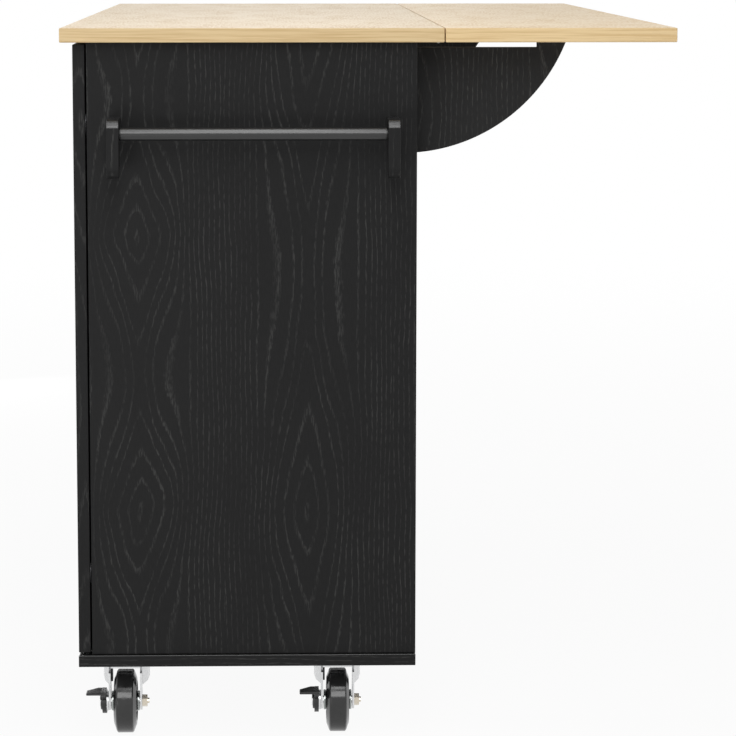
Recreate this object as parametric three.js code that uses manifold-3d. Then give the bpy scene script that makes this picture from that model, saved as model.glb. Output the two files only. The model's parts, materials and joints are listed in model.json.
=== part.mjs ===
// Drop leaf kitchen island on four braked swivel casters, with the leaf raised on its two swing-out wings.
// Millimetres, +Z up. Doors and drawers face -Y, the leaf is on the +Y side and the towel rack on the +X
// end. The origin is on the floor, under the middle of the overall box.

import * as THREE from "three";
import { mergeVertices } from "three/addons/utils/BufferGeometryUtils.js";
import Module from "manifold-3d";

const wasm = await Module();
wasm.setup();

// ---- Driving dimensions ----

const fit = 0.3; // gap wherever two separate pieces meet
const islandHeight = 914;

// Worktop and drop leaf
const topLength = 1350;
const topDepth = 479;
const topThick = 18;
const topEase = 0.8; // small chamfer round the oak boards
const leafDepth = 289;
const seamGap = 1.5; // open joint between the worktop and the leaf
const endOverhang = 15;
const frontOverhang = 15;
const rearOverhang = 33; // room for a folded wing behind the hanging leaf

// Cabinet boards
const boardThick = 15;
const boardEase = 0.5;
const baseProud = 5; // how far the base board stands out past the end panels
const railWidth = 70;
const shelfHeight = 380; // from the base board to the underside of a cupboard shelf
const shelfSetback = 20;
const shelfPinRadius = 2.5;
const shelfPinReach = 9;
const shelfPinInset = 60;

// Doors and drawer fronts
const frontThick = 15;
const frontBackGap = 2; // between a closed front and the carcass
const frontReveal = 3; // between neighbouring fronts
const drawerFrontWidth = 438;
const drawerCount = 3;
const pullLength = 96; // half-oval finger notch in each front
const pullDepth = 30;
const doorPullHeight = 560; // from the bottom edge of a door to the middle of its notch

// Drawer boxes and their runners
const boxWall = 12;
const boxFloorThick = 6;
const boxHeight = 150;
const boxRearGap = 16; // between a closed drawer's box and the back panel
const boxLift = 20; // underside of a box above the bottom edge of its front
const boxSideGap = 12.5;
const runnerHeight = 18;
const runnerWidth = 8;
const runnerSlotDepth = 6;
const tongueHeight = 8;
const tongueSetback = 33; // tongue's end from the back of its box
const runnerLift = 60; // middle of a runner above the underside of its box

// Swing-out wings that carry the leaf
const wingInset = 83; // wing's middle plane from the end of the worktop
const wingReach = 193;
const wingDrop = 143;
const wingArcRadius = 222.5;
const wingPadLength = 37; // raised tip that meets the leaf
const wingNotchDepth = 9; // clears the leaf hinges when the wing is folded in

// Butt hinges of the wings and the leaf
const hingeSheet = 1.5;
const hingeKnuckleRadius = 3;
const hingePinRadius = 1.5;
const hingeKnuckles = 5;
const hingeScrewRadius = 3.4;
const hingeScrewProud = 0.6;
const hingeScrewShare = 0.32; // outer screws from the hinge's middle, as a share of its length
const wingHingeLength = 100;
const wingHingeWidth = 26;
const leafHingeLength = 70;
const leafHingeWidth = 30;
const leafHingeSpacing = 500;
const leafHingeCount = 3;

// Concealed cup hinges of the doors
const cupRadius = 17.5;
const cupFlangeWidth = 2.5;
const cupFlangeThick = 1;
const cupDepth = 11;
const cupWall = 2.7;
const cupFloorThick = 1.5;
const cupEdgeInset = 23; // cup's middle from the outer edge of the door
const cupEndInset = 100; // cup's middle from the door's top and bottom edges
const armPlateThick = 2;
const armPlateHeight = 46;
const armPlateLength = 34;
const armPlateSetback = 24;
const armWidth = 14;
const armThick = 12;

// Towel rack on the +X end
const rackThick = 15;
const rackReach = 60;
const rackDrop = 93; // top of the brackets below the worktop's underside
const rackHeight = 74;
const rackTopRound = 12;
const rackBottomRound = 15;
const rackFrontInset = 28; // front bracket from the front edge of the end panel
const rackRearInset = 23.4; // rear bracket from the rear edge of the end panel
const barRadius = 8.2;
const barOut = 40; // bar's axis from the end panel
const barDrop = 19; // bar's axis below the top of the brackets
const barCollarRadius = 7;
const barCollarLength = 1.5;
const barTenonRadius = 4;
const barTenonLength = 8;

// Casters
const wheelRadius = 41;
const treadWidth = 22;
const treadRound = 1.6;
const shoulderRadius = 30; // where the sloped shoulder reaches the rim's full width
const rimWidth = 29;
const rimInnerRadius = 26;
const webWidth = 20;
const hubWidth = 36;
const hubRadius = 14;
const axleRadius = 5;
const axleClearance = 0.4;
const wheelTrail = 28; // axle behind the swivel axis
const casterEndInset = 73; // swivel axis from the end panel's face
const casterFrontInset = 57; // front swivel axis from the face of the doors
const casterRearInset = 99; // rear swivel axis from the back of the cabinet
const mountPlateLength = 90;
const mountPlateWidth = 62;
const mountPlateThick = 2.5;
const mountPlateRound = 8;
const mountBoltSpacingX = 72;
const mountBoltSpacingY = 44;
const mountBoltRadius = 5.5;
const mountBoltThick = 3;
const raceRadius = 23;
const raceThick = 4; // each of the two rings
const kingpinRadius = 6;
const kingpinHeadRadius = 8.5;
const kingpinHeadThick = 2;
const forkSheet = 2.5;
const hubClearance = 1; // between the hub's end and the fork's leg
const domeRadius = 30; // fork's round front, about the swivel axis
const domeSkirt = 8; // depth of its wall at the front
const forkRear = 34; // crown's reach behind the swivel axis
const forkEndRadius = 12;
const crownClearance = 3.4; // crown above the tyre
const legShoulderDrop = 5; // straight part of a leg under the crown
const legFrontAngle = -195; // where the leg's front edge meets the round end
const nutRadius = 8;
const nutThick = 6.5;
const axleEndRadius = 3.6;
const axleEndLength = 2.5;
const axleHeadRadius = 8;
const axleHeadThick = 3;
const pedalThick = 5.5;
const leverSheet = 2.7; // steel lever between the pedal's moulding and the fork
const leverHubRadius = 13;
const pedalHubRadius = 16;
const pedalHubStart = 135; // degrees round the axle where the hub's edge begins
const pedalHubEnd = 378;
const bladeThick = 3.5;
const bladeEase = 0.8;
const bladeReach = 19.5; // blade past the pedal's outer face
const bladeLength = 28;
const bladeTaper = 14;
const bladeStart = 3; // blade's inner end behind the axle
const bladeLift = 15; // underside of the blade above the axle
const pedalGap = 1; // between the top of the pedal and the dome's wall

// ---- Places worked out from them ----

const totalDepth = topDepth + seamGap + leafDepth;
const topFrontY = -totalDepth / 2;
const topRearY = topFrontY + topDepth;
const seamY = topRearY + seamGap / 2;
const topUnder = islandHeight - topThick;
const crownUnder = 2 * wheelRadius + crownClearance;
const crownTop = crownUnder + forkSheet;
const mountPlateUnder = crownTop + 2 * raceThick + fit;
const mountPlateTop = mountPlateUnder + mountPlateThick;
const baseUnder = mountPlateTop + fit;
const cabinetHalf = topLength / 2 - endOverhang;
const frontFaceY = topFrontY + frontOverhang;
const frontInnerY = frontFaceY + frontThick;
const carcassFrontY = frontInnerY + frontBackGap;
const rearY = topRearY - rearOverhang;
const backInnerY = rearY - boardThick;
const baseTop = baseUnder + boardThick;
const sideInner = cabinetHalf - boardThick;
const dividerMiddle = (drawerFrontWidth + frontReveal) / 2;
const dividerInner = dividerMiddle - boardThick / 2;
const dividerOuter = dividerMiddle + boardThick / 2;
const railUnder = topUnder - fit - boardThick;
const frontBottom = baseTop + frontReveal;
const frontTop = topUnder - frontReveal;
const doorInnerEdge = dividerMiddle + frontReveal / 2;
const drawerFrontHeight = (frontTop - frontBottom - (drawerCount - 1) * frontReveal) / drawerCount;
const drawerPitch = drawerFrontHeight + frontReveal;
const rackShift = (Math.max(topLength / 2, cabinetHalf + rackReach) - topLength / 2) / 2;

// ---- Materials ----

const finish = (color, roughness, metalness) =>
  new THREE.MeshStandardMaterial({ color, roughness, metalness });
const oak = finish(0xdcc49c, 0.5, 0);
const blackOak = finish(0x2a2a2b, 0.55, 0);
const blackSteel = finish(0x1d1d1e, 0.4, 0.3);
const zinc = finish(0xc9cbcd, 0.3, 1);
const wheelBlack = finish(0x262627, 0.6, 0);
const pedalBlack = finish(0x303031, 0.5, 0);

// ---- Shared operations ----

const unit = [new THREE.Vector3(1, 0, 0), new THREE.Vector3(0, 1, 0), new THREE.Vector3(0, 0, 1)];
const [alongX, alongY, alongZ] = unit;
const frameOf = (x, y, z) => new THREE.Matrix4().makeBasis(x, y, z);

function solidOf(geometry) {
  const bare = geometry.clone();
  bare.deleteAttribute("normal");
  bare.deleteAttribute("uv");
  const merged = mergeVertices(bare, 1e-4);
  const vertProperties = merged.attributes.position.array;
  const triVerts = new Uint32Array(merged.index.array);
  return new wasm.Manifold(new wasm.Mesh({ numProp: 3, vertProperties, triVerts }));
}

function geometryOf(solid) {
  const mesh = solid.getMesh();
  const geometry = new THREE.BufferGeometry();
  geometry.setAttribute("position", new THREE.BufferAttribute(mesh.vertProperties, 3));
  geometry.setIndex(new THREE.BufferAttribute(mesh.triVerts, 1));
  const faceted = geometry.toNonIndexed();
  faceted.computeVertexNormals();
  return faceted;
}

const join = (...pieces) => geometryOf(pieces.map(solidOf).reduce((a, b) => a.add(b)));
const cut = (piece, ...tools) =>
  geometryOf(tools.map(solidOf).reduce((a, b) => a.subtract(b), solidOf(piece)));

// A flat outline given a thickness along +Z, with a chamfer round both faces.
function plate(outline, thick, ease = 0, curveSegments = 12) {
  const geometry = new THREE.ExtrudeGeometry(outline, {
    depth: thick - 2 * ease,
    bevelEnabled: ease > 0,
    bevelThickness: ease,
    bevelSize: ease,
    bevelOffset: -ease,
    bevelSegments: 1,
    curveSegments,
  });
  return geometry.translate(0, 0, ease);
}

function rectangle(width, height) {
  const outline = new THREE.Shape();
  outline.moveTo(0, 0);
  outline.lineTo(width, 0);
  outline.lineTo(width, height);
  outline.lineTo(0, height);
  return outline;
}

// A board between two corners, chamfered round its two broad faces.
function board(x, y, z, ease = boardEase) {
  const low = [x[0], y[0], z[0]];
  const size = [x[1] - x[0], y[1] - y[0], z[1] - z[0]];
  const thin = size.indexOf(Math.min(...size));
  const across = (thin + 1) % 3;
  const up = (thin + 2) % 3;
  const flat = plate(rectangle(size[across], size[up]), size[thin], ease);
  return flat.applyMatrix4(frameOf(unit[across], unit[up], unit[thin])).translate(...low);
}

function block(x, y, z) {
  const box = new THREE.BoxGeometry(x[1] - x[0], y[1] - y[0], z[1] - z[0]);
  return box.translate((x[0] + x[1]) / 2, (y[0] + y[1]) / 2, (z[0] + z[1]) / 2);
}

// A round bar from one distance to another along an axis.
function rod(radius, [from, to], axis, sides = 12) {
  const bar = new THREE.CylinderGeometry(radius, radius, to - from, sides);
  bar.translate(0, (from + to) / 2, 0);
  if (axis === alongX) bar.rotateZ(-Math.PI / 2);
  if (axis === alongZ) bar.rotateX(Math.PI / 2);
  return bar;
}

const group = new THREE.Group();
const island = new THREE.Group();
island.position.x = -rackShift;
group.add(island);

function add(name, geometry, material, parent = island) {
  const mesh = new THREE.Mesh(geometry, material);
  mesh.name = name;
  parent.add(mesh);
  return mesh;
}

const ends = [
  { name: "right", sign: 1 },
  { name: "left", sign: -1 },
];
const span = (sign, inner, outer) => (sign > 0 ? [inner, outer] : [-outer, -inner]);

// ---- Worktop and leaf ----

function addTops() {
  const length = [-topLength / 2, topLength / 2];
  const height = [topUnder, islandHeight];
  const leafY = [topRearY + seamGap, topRearY + seamGap + leafDepth];
  add("worktop", board(length, [topFrontY, topRearY], height, topEase), oak);
  add("drop_leaf", board(length, leafY, height, topEase), oak);
}

// ---- Cabinet ----

const uprightHeight = [baseTop + fit, topUnder - fit];
const boxBottom = (row) => frontBottom + row * drawerPitch + boxLift;
const shelfPinY = [carcassFrontY + shelfSetback + shelfPinInset, backInnerY - fit - shelfPinInset];

function shelfPins(from, to) {
  const height = baseTop + shelfHeight - fit - shelfPinRadius;
  return shelfPinY.map((y) => rod(shelfPinRadius, [from, to], alongX, 10).translate(0, y, height));
}

// Divider with the pins of its cupboard shelf on one face and the drawers' slotted runners on the other.
function divider(sign) {
  const panel = block(
    span(sign, dividerInner, dividerOuter),
    [carcassFrontY, backInnerY - fit],
    [baseTop + fit, railUnder - fit],
  );
  const channels = [];
  const slots = [];
  for (let row = 0; row < drawerCount; row++) {
    const middle = boxBottom(row) + runnerLift;
    const length = [carcassFrontY, backInnerY - fit];
    const height = (half) => [middle - half, middle + half];
    const channelX = span(sign, dividerInner - runnerWidth, dividerInner + fit);
    channels.push(block(channelX, length, height(runnerHeight / 2)));
    const slotX = span(sign, dividerInner - runnerWidth - fit, dividerInner - runnerWidth + runnerSlotDepth);
    slots.push(block(slotX, [length[0] - fit, length[1] + fit], height(tongueHeight / 2 + fit)));
  }
  const pinEnds = span(sign, dividerOuter - fit, dividerOuter + shelfPinReach);
  return cut(join(panel, ...channels, ...shelfPins(...pinEnds)), ...slots);
}

function addCabinet() {
  const wide = cabinetHalf + baseProud;
  add("base_board", board([-wide, wide], [frontFaceY, rearY], [baseUnder, baseTop]), blackOak);
  const insideX = [-sideInner + fit, sideInner - fit];
  add("back_panel", board(insideX, [backInnerY, rearY], uprightHeight), blackOak);
  const railHeights = [railUnder, topUnder - fit];
  const frontRail = board(insideX, [carcassFrontY, carcassFrontY + railWidth], railHeights);
  add("front_top_rail", frontRail, blackOak);
  const rearRail = board(insideX, [backInnerY - fit - railWidth, backInnerY - fit], railHeights);
  add("rear_top_rail", rearRail, blackOak);
  for (const { name, sign } of ends) {
    const panel = board(span(sign, sideInner, cabinetHalf), [carcassFrontY, rearY], uprightHeight);
    const pinEnds = span(sign, sideInner - shelfPinReach, sideInner + fit);
    add(`${name}_side_panel`, join(panel, ...shelfPins(...pinEnds)), blackOak);
    add(`${name}_divider`, divider(sign), blackOak);
    const shelf = board(
      span(sign, dividerOuter + fit, sideInner - fit),
      [carcassFrontY + shelfSetback, backInnerY - fit],
      [baseTop + shelfHeight, baseTop + shelfHeight + boardThick],
    );
    add(`${name}_shelf`, shelf, blackOak);
  }
}

// ---- Doors and drawers ----

// Half an oval, bitten out of the edge that runs along the local X axis, from above.
function pullNotch() {
  const outline = new THREE.Shape();
  const flat = pullLength / 2 - pullDepth;
  outline.moveTo(-pullLength / 2, fit);
  outline.lineTo(-pullLength / 2, 0);
  outline.absarc(-flat, 0, pullDepth, Math.PI, 1.5 * Math.PI, false);
  outline.absarc(flat, 0, pullDepth, 1.5 * Math.PI, 2 * Math.PI, false);
  outline.lineTo(pullLength / 2, fit);
  return plate(outline, frontThick + 2 * fit, 0, 8).translate(0, 0, -fit);
}

// The local frame of a front: X along the edge with the notch, Y out past that edge and Z into the cabinet.
function frontWithNotch(x, z, frame, notchX, notchZ) {
  const panel = board(x, [frontFaceY, frontInnerY], z);
  const notch = pullNotch().applyMatrix4(frame).translate(notchX, frontFaceY, notchZ);
  return cut(panel, notch);
}

function addDrawers() {
  const halfFront = drawerFrontWidth / 2;
  const halfBox = dividerInner - boxSideGap;
  const boxFrontY = frontInnerY + fit;
  const boxRearY = backInnerY - boxRearGap;
  const names = ["bottom", "middle", "top"];
  const notchFrame = frameOf(alongX.clone().negate(), alongZ, alongY);
  for (let row = 0; row < drawerCount; row++) {
    const name = names[row] ?? `row_${row + 1}`;
    const bottom = frontBottom + row * drawerPitch;
    const top = bottom + drawerFrontHeight;
    const front = frontWithNotch([-halfFront, halfFront], [bottom, top], notchFrame, 0, top);
    add(`drawer_front_${name}`, front, blackOak);

    const floor = boxBottom(row);
    const outer = block([-halfBox, halfBox], [boxFrontY, boxRearY], [floor, floor + boxHeight]);
    const inner = block(
      [-halfBox + boxWall, halfBox - boxWall],
      [boxFrontY + boxWall, boxRearY - boxWall],
      [floor + boxFloorThick, floor + boxHeight + fit],
    );
    const middle = floor + runnerLift;
    const tongues = [1, -1].map((sign) =>
      block(
        span(sign, halfBox - fit, dividerInner - runnerWidth + runnerSlotDepth - fit),
        [carcassFrontY + fit, boxRearY - tongueSetback],
        [middle - tongueHeight / 2, middle + tongueHeight / 2],
      ),
    );
    add(`drawer_box_${name}`, join(cut(outer, inner), ...tongues), blackOak);
  }
}

// Cup of a concealed hinge with its open mouth towards +Y and its flange on the XZ plane.
function hingeCup() {
  const outer = cupRadius - fit;
  const wall = [
    [0, -cupDepth],
    [outer, -cupDepth],
    [outer, 0],
    [cupRadius + cupFlangeWidth, 0],
    [cupRadius + cupFlangeWidth, cupFlangeThick],
    [outer - cupWall, cupFlangeThick],
    [outer - cupWall, cupFloorThick - cupDepth],
    [0, cupFloorThick - cupDepth],
  ];
  return new THREE.LatheGeometry(wall.map(([r, y]) => new THREE.Vector2(r, y)), 14);
}

function addDoors() {
  const cupHeights = { lower: frontBottom + cupEndInset, upper: frontTop - cupEndInset };
  for (const { name, sign } of ends) {
    const cupX = sign * (cabinetHalf - cupEdgeInset);
    const notchFrame = frameOf(
      alongZ.clone().multiplyScalar(-sign),
      alongX.clone().multiplyScalar(-sign),
      alongY,
    );
    const doorX = span(sign, doorInnerEdge, cabinetHalf);
    const notchX = sign * doorInnerEdge;
    const notchZ = frontBottom + doorPullHeight;
    const panel = frontWithNotch(doorX, [frontBottom, frontTop], notchFrame, notchX, notchZ);
    const bores = Object.values(cupHeights).map((z) =>
      rod(cupRadius, [frontInnerY - cupDepth, frontInnerY + fit], alongY, 14).translate(cupX, 0, z),
    );
    add(`${name}_door`, cut(panel, ...bores), blackOak);
    for (const [level, z] of Object.entries(cupHeights)) {
      add(`${name}_door_cup_${level}`, hingeCup().translate(cupX, frontInnerY + fit, z), zinc);
      const around = (height) => [z - height / 2, z + height / 2];
      const seat = sideInner - fit - armPlateThick;
      const footY = carcassFrontY + armPlateSetback;
      const footEnd = footY + armPlateLength;
      const foot = block(span(sign, seat, sideInner - fit), [footY, footEnd], around(armPlateHeight));
      const armY = [frontInnerY + cupFlangeThick + 2 * fit, footEnd];
      const arm = block(span(sign, seat - armThick, seat + fit), armY, around(armWidth));
      add(`${name}_door_arm_${level}`, join(foot, arm), zinc);
    }
  }
}

// ---- Butt hinges ----

// Half a butt hinge about the local Z axis. Its sheet runs out along +X and lies fit above the face it is
// screwed to, which is at -Y. The half with the pin holds the odd knuckles, the other turns round the pin.
function hingeHalf(length, width, holdsPin) {
  const step = length / hingeKnuckles;
  const seat = -hingeKnuckleRadius;
  const sheetStart = hingePinRadius / 2; // buried in the knuckles
  const sheet = block([sheetStart, width], [seat, seat + hingeSheet], [-length / 2, length / 2]);
  const parts = [];
  const gaps = [];
  for (let i = 0; i < hingeKnuckles; i++) {
    const low = -length / 2 + i * step;
    const own = (i % 2 === 0) === holdsPin;
    const knuckleRange = own ? [low + fit / 2, low + step - fit / 2] : [low - fit / 2, low + step + fit / 2];
    if (own) parts.push(rod(hingeKnuckleRadius, knuckleRange, alongZ, 8));
    else {
      const room = hingeKnuckleRadius + fit;
      gaps.push(block([-fit, room], [seat - fit, room], knuckleRange));
    }
  }
  const screwX = (hingeKnuckleRadius + width) / 2;
  const screwY = [seat + hingeSheet / 2, seat + hingeSheet + hingeScrewProud];
  for (const share of [-hingeScrewShare, 0, hingeScrewShare])
    parts.push(rod(hingeScrewRadius, screwY, alongY, 6).translate(screwX, 0, share * length));
  const leaf = cut(sheet, ...gaps);
  if (holdsPin) return join(leaf, ...parts, rod(hingePinRadius, [-length / 2, length / 2], alongZ, 8));
  return cut(join(leaf, ...parts), rod(hingePinRadius + fit, [-length, length], alongZ, 8));
}

const hingeFaceGap = hingeKnuckleRadius + fit; // from a hinge's axis to the face it is screwed to

function addLeafHinges() {
  const axisZ = topUnder - hingeFaceGap;
  const down = alongZ.clone().negate();
  const fixedFrame = frameOf(alongY.clone().negate(), down, alongX);
  const movingFrame = frameOf(alongY, down, alongX.clone().negate());
  for (let i = 0; i < leafHingeCount; i++) {
    const x = (i - (leafHingeCount - 1) / 2) * leafHingeSpacing;
    const place = (geometry, frame) => geometry.applyMatrix4(frame).translate(x, seamY, axisZ);
    const half = (holdsPin) => hingeHalf(leafHingeLength, leafHingeWidth, holdsPin);
    add(`leaf_hinge_${i + 1}_fixed`, place(half(true), fixedFrame), zinc);
    add(`leaf_hinge_${i + 1}_moving`, place(half(false), movingFrame), zinc);
  }
}

// ---- Wings ----

// Outline in the wing's own plane: X out from the back of the cabinet, Y up from the leaf's underside.
function wingOutline() {
  const chord = Math.hypot(wingReach, wingDrop);
  const rise = Math.sqrt(wingArcRadius ** 2 - (chord / 2) ** 2) / chord;
  const centreX = wingReach / 2 - wingDrop * rise;
  const centreY = -wingDrop / 2 + wingReach * rise;
  const padX = wingReach - wingPadLength;
  const rootY = centreY - Math.sqrt(wingArcRadius ** 2 - (fit - centreX) ** 2);
  const tipX = centreX + Math.sqrt(wingArcRadius ** 2 - (fit + centreY) ** 2);
  const outline = new THREE.Shape();
  outline.moveTo(fit, -wingNotchDepth);
  outline.lineTo(fit, rootY);
  const from = Math.atan2(rootY - centreY, fit - centreX);
  const to = Math.atan2(-fit - centreY, tipX - centreX);
  outline.absarc(centreX, centreY, wingArcRadius, from, to, false);
  outline.lineTo(padX, -fit);
  outline.lineTo(padX, -wingNotchDepth);
  return outline;
}

function addWings() {
  const upright = frameOf(alongY, alongZ, alongX);
  const hingeZ = topUnder - wingNotchDepth - (wingDrop - wingNotchDepth) / 2;
  for (const { name, sign } of ends) {
    const middle = sign * (topLength / 2 - wingInset);
    const wing = plate(wingOutline(), boardThick, boardEase, 18).applyMatrix4(upright);
    add(`${name}_wing`, wing.translate(middle - boardThick / 2, rearY, topUnder), blackOak);
    const axisX = middle - sign * (boardThick / 2 + hingeFaceGap);
    const inward = alongX.clone().multiplyScalar(-sign);
    const fixedFrame = frameOf(inward, alongY, alongZ.clone().multiplyScalar(-sign));
    const movingFrame = frameOf(alongY, inward, alongZ.clone().multiplyScalar(sign));
    const place = (geometry, frame) =>
      geometry.applyMatrix4(frame).translate(axisX, rearY + hingeFaceGap, hingeZ);
    const half = (holdsPin) => hingeHalf(wingHingeLength, wingHingeWidth, holdsPin);
    add(`${name}_wing_hinge_fixed`, place(half(true), fixedFrame), zinc);
    add(`${name}_wing_hinge_moving`, place(half(false), movingFrame), zinc);
  }
}

// ---- Towel rack ----

function addTowelRack() {
  const outline = new THREE.Shape();
  const bottom = topUnder - rackDrop - rackHeight;
  outline.moveTo(fit, 0);
  outline.absarc(rackReach - rackBottomRound, rackBottomRound, rackBottomRound, -Math.PI / 2, 0, false);
  outline.absarc(rackReach - rackTopRound, rackHeight - rackTopRound, rackTopRound, 0, Math.PI / 2, false);
  outline.lineTo(fit, rackHeight);
  const upright = frameOf(alongX, alongZ, alongY.clone().negate());
  const bracketY = { front: carcassFrontY + rackFrontInset, rear: rearY - rackRearInset - rackThick };
  const barX = cabinetHalf + barOut;
  const barZ = topUnder - rackDrop - barDrop;
  const tenon = { front: bracketY.front + rackThick, rear: bracketY.rear };
  for (const [name, y] of Object.entries(bracketY)) {
    const shape = plate(outline, rackThick, boardEase, 6).applyMatrix4(upright);
    shape.translate(cabinetHalf, y + rackThick, bottom);
    const out = name === "front" ? -1 : 1;
    const mouthAndFloor = [tenon[name] - out * fit, tenon[name] + out * (barTenonLength + fit)];
    const depth = [Math.min(...mouthAndFloor), Math.max(...mouthAndFloor)];
    const hole = rod(barTenonRadius + fit, depth, alongY).translate(barX, 0, barZ);
    add(`towel_bracket_${name}`, cut(shape, hole), blackOak);
  }
  const inner = [tenon.front + fit, tenon.rear - fit];
  const bar = [inner[0] + barCollarLength, inner[1] - barCollarLength];
  const whole = join(
    rod(barRadius, bar, alongY, 20),
    rod(barCollarRadius, inner, alongY),
    rod(barTenonRadius, [tenon.front - barTenonLength, tenon.rear + barTenonLength], alongY),
  );
  add("towel_bar", whole.translate(barX, 0, barZ), blackSteel);
}

// ---- Casters ----

const forkInner = hubWidth / 2 + hubClearance;
const forkOuter = forkInner + forkSheet;
const leverOuter = forkOuter + fit + leverSheet;
const domeInner = domeRadius - forkSheet;
const domeEnd = Math.asin(forkOuter / domeRadius); // angle where the dome's wall runs into the legs
const domeInnerEnd = Math.asin(forkInner / domeInner);
const skirtEnd = wheelRadius + bladeLift + bladeThick + pedalGap; // foot of the wall beside the legs

function roundedRectangle(width, height, round) {
  const outline = new THREE.Shape();
  const [x, y] = [width / 2 - round, height / 2 - round];
  outline.absarc(x, y, round, 0, Math.PI / 2, false);
  outline.absarc(-x, y, round, Math.PI / 2, Math.PI, false);
  outline.absarc(-x, -y, round, Math.PI, 1.5 * Math.PI, false);
  outline.absarc(x, -y, round, 1.5 * Math.PI, 2 * Math.PI, false);
  return outline;
}

// Mounting plate with its bolt heads, the upper ball race and the kingpin that the fork turns on.
function mountPlate() {
  const outline = roundedRectangle(mountPlateLength, mountPlateWidth, mountPlateRound);
  const parts = [plate(outline, mountPlateThick, 0, 3).translate(0, 0, mountPlateUnder)];
  for (const x of [-mountBoltSpacingX / 2, mountBoltSpacingX / 2])
    for (const y of [-mountBoltSpacingY / 2, mountBoltSpacingY / 2]) {
      const bolt = rod(mountBoltRadius, [mountPlateUnder - mountBoltThick, mountPlateTop], alongZ, 6);
      parts.push(bolt.translate(x, y, 0));
    }
  parts.push(rod(raceRadius, [mountPlateUnder - raceThick, mountPlateTop], alongZ, 16));
  const headTop = crownUnder - fit;
  parts.push(rod(kingpinRadius, [headTop - kingpinHeadThick, mountPlateTop], alongZ, 8));
  parts.push(rod(kingpinHeadRadius, [headTop - kingpinHeadThick, headTop], alongZ, 8));
  return join(...parts);
}

// Crown of the fork from above: a round front that runs into the straight legs.
function crownOutline() {
  const outline = new THREE.Shape();
  outline.absarc(0, 0, domeRadius, domeEnd, 2 * Math.PI - domeEnd, false);
  outline.lineTo(forkRear, -forkOuter);
  outline.lineTo(forkRear, forkOuter);
  return outline;
}

// Wall of the dome, with a foot that slopes from the front down to the legs.
function domeWall(upright) {
  const ring = new THREE.Shape();
  ring.absarc(0, 0, domeRadius, domeEnd, 2 * Math.PI - domeEnd, false);
  ring.absarc(0, 0, domeInner, 2 * Math.PI - domeInnerEnd, domeInnerEnd, true);
  const foot = skirtEnd - fit;
  const wall = plate(ring, crownUnder + forkSheet / 2 - foot, 0, 6).translate(0, 0, foot);
  const below = new THREE.Shape();
  below.moveTo(-domeRadius - fit, crownUnder - domeSkirt);
  below.lineTo(-domeRadius - fit, foot - fit);
  below.lineTo(domeRadius, foot - fit);
  below.lineTo(domeInner * Math.cos(domeInnerEnd), skirtEnd);
  return cut(wall, plate(below, 2 * domeRadius + 2, 0).applyMatrix4(upright).translate(0, domeRadius + 1, 0));
}

// One leg of the fork in its own plane: X along the roll, Y up, from the crown down round the axle.
function legOutline() {
  const outline = new THREE.Shape();
  const around = (angle) => [
    wheelTrail + forkEndRadius * Math.cos(angle),
    wheelRadius + forkEndRadius * Math.sin(angle),
  ];
  const shoulder = crownUnder - legShoulderDrop;
  const frontAngle = THREE.MathUtils.degToRad(legFrontAngle);
  const front = domeInner * Math.cos(domeInnerEnd);
  outline.moveTo(front, crownTop);
  outline.lineTo(front, skirtEnd);
  outline.lineTo(...around(frontAngle));
  outline.absarc(wheelTrail, wheelRadius, forkEndRadius, frontAngle, 0, false);
  outline.lineTo(forkRear + forkEndRadius / 2, shoulder);
  outline.lineTo(forkRear, crownTop);
  return outline;
}

function fork() {
  const upright = frameOf(alongX, alongZ, alongY.clone().negate());
  const leg = () => plate(legOutline(), forkSheet, 0, 6).applyMatrix4(upright);
  const crown = plate(crownOutline(), forkSheet, 0, 6).translate(0, 0, crownUnder);
  const raceTop = mountPlateUnder - raceThick - fit;
  const lowerRace = rod(raceRadius + forkSheet, [crownUnder + forkSheet / 2, raceTop], alongZ, 16);
  const legs = [leg().translate(0, forkOuter, 0), leg().translate(0, -forkInner, 0)];
  const hole = rod(kingpinRadius + fit, [crownUnder - fit, raceTop + fit], alongZ);
  const axle = (radius, range, sides) =>
    rod(radius, range, alongY, sides).translate(wheelTrail, 0, wheelRadius);
  const pedalEnd = -leverOuter - pedalThick - fit;
  return join(
    cut(join(crown, domeWall(upright), lowerRace, ...legs), hole),
    axle(axleRadius, [pedalEnd - axleHeadThick, forkOuter + nutThick], 8),
    axle(axleHeadRadius, [pedalEnd - axleHeadThick, pedalEnd]),
    axle(nutRadius, [forkOuter - forkSheet / 2, forkOuter + nutThick], 6),
    axle(axleEndRadius, [forkOuter, forkOuter + nutThick + axleEndLength], 8),
  );
}

// Wheel turned about the axle: narrow tread, sloped shoulders, recessed web and a wider hub.
function wheel() {
  const half = [
    [axleRadius + axleClearance, hubWidth / 2],
    [hubRadius, hubWidth / 2],
    [hubRadius, webWidth / 2],
    [rimInnerRadius, webWidth / 2],
    [rimInnerRadius, rimWidth / 2],
    [shoulderRadius, rimWidth / 2],
    [wheelRadius - treadRound, treadWidth / 2],
    [wheelRadius, treadWidth / 2 - treadRound],
  ];
  const mirrored = half.map(([r, y]) => [r, -y]);
  const profile = [...mirrored, ...half.reverse(), mirrored[0]].map(([r, y]) => new THREE.Vector2(r, y));
  return new THREE.LatheGeometry(profile, 20).translate(wheelTrail, 0, wheelRadius);
}

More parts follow.
